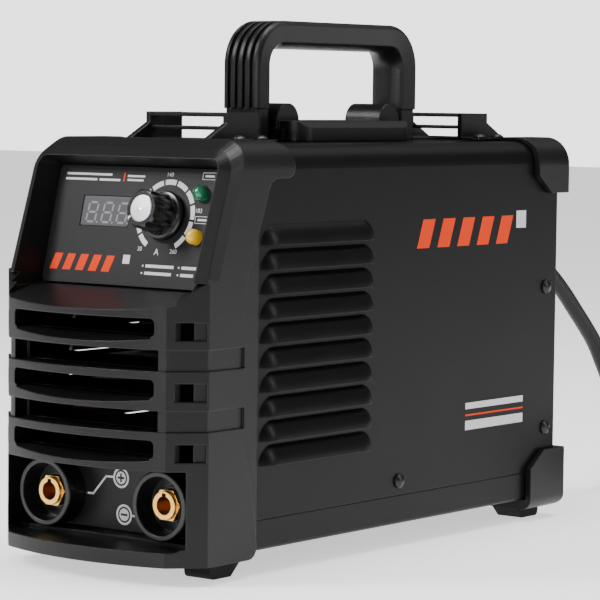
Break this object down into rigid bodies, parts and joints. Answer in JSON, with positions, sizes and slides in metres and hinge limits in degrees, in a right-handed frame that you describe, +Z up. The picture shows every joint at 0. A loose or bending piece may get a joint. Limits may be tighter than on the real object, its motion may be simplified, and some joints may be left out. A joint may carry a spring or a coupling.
{
  "type": "stick welding inverter",
  "caption": "Portable stick welding power source: moulded front with grille, dial and cable sockets, louvred sheet case, top handle and mains cord.",
  "frame": {"origin": "on the ground under the middle of the machine, without its mains cord", "axes": "+X to the right seen from the front, +Y to the rear, +Z up"},
  "size_m": [0.2059, 0.5812, 0.271],
  "materials": {
    "shell": "fine grained black moulding",
    "panel_plate": "dark grey printed overlay",
    "display_glass": "smoked clear window",
    "display_digits": "pale digits on a grey body",
    "knob_plastic": "satin black",
    "knob_silver": "spun silver cap",
    "steel": "plated steel",
    "led_green": "tinted clear lens",
    "led_yellow": "tinted clear lens",
    "circuit_board": "green solder mask",
    "socket_plate": "dark grey overlay",
    "socket_plastic": "moulded black",
    "brass": "turned brass",
    "copper": "bare copper",
    "case_paint": "satin black powder coat",
    "black_plastic": "black moulding",
    "black_wire": "black coated wire",
    "switch_red": "red rocker",
    "cord_rubber": "black cord jacket",
    "plug_rubber": "black moulded plug",
    "grip_plastic": "grained black moulding",
    "foot_rubber": "black rubber",
    "screw_black": "black oxide",
    "aluminium": "extruded",
    "component_black": "moulded package",
    "capacitor_sleeve": "dark blue sleeve",
    "ferrite": "pressed ferrite",
    "winding_tape": "yellow tape"
  },
  "bodies": {
    "machine": {"front_bezel": "shell", "control_panel": "panel_plate", "display_window": "display_glass", "display_module": "display_digits", "potentiometer": "steel", "power_led": "led_green", "overheat_led": "led_yellow", "control_board": "circuit_board", "socket_plate": "socket_plate", "socket_positive": "socket_plastic", "socket_negative": "socket_plastic", "contact_positive": "brass", "contact_negative": "brass", "socket_nuts": "brass", "output_busbars": "copper", "top_cover": "case_paint", "base_tray": "case_paint", "rear_frame": "shell", "fan_frame": "black_plastic", "fan_guard": "black_wire", "switch_housing": "black_plastic", "cable_gland": "black_plastic", "gland_nut": "black_plastic", "mains_cord": "cord_rubber", "mains_coil": "cord_rubber", "plug_lead": "cord_rubber", "mains_plug": "plug_rubber", "plug_pins": "steel", "cord_tie": "black_plastic", "handle": "grip_plastic", "handle_base": "grip_plastic", "front_rack": "grip_plastic", "rear_rack": "grip_plastic", "feet": "foot_rubber", "case_screws": "screw_black", "rack_screws": "screw_black", "fan_screws": "steel", "main_board": "circuit_board", "board_standoffs": "brass", "heat_sink_left": "aluminium", "heat_sink_right": "aluminium", "power_transistors": "component_black", "bulk_capacitors": "capacitor_sleeve", "transformer_core": "ferrite", "transformer_winding": "winding_tape", "output_choke": "copper", "input_rectifier": "component_black"},
    "current_dial": {"current_knob": "knob_plastic", "knob_cap": "knob_silver", "knob_shaft": "steel"},
    "power_rocker": {"switch_rocker": "switch_red"},
    "fan_wheel": {"fan_rotor": "black_plastic"}
  },
  "joints": [
    {"name": "dial_turn", "type": "hinge", "parent": "machine", "child": "current_dial", "pos_m": [0.0202, -0.12236, 0.17354], "axis": [0, 0.9703, -0.2419], "range_deg": [-28, 272]},
    {"name": "power_rock", "type": "hinge", "parent": "machine", "child": "power_rocker", "pos_m": [-0.03, 0.1464, 0.1517], "axis": [1, 0, 0], "range_deg": [0, 20]},
    {"name": "fan_spin", "type": "hinge", "parent": "machine", "child": "fan_wheel", "pos_m": [0, 0.1331, 0.0777], "axis": [0, 1, 0], "continuous": true}
  ]
}
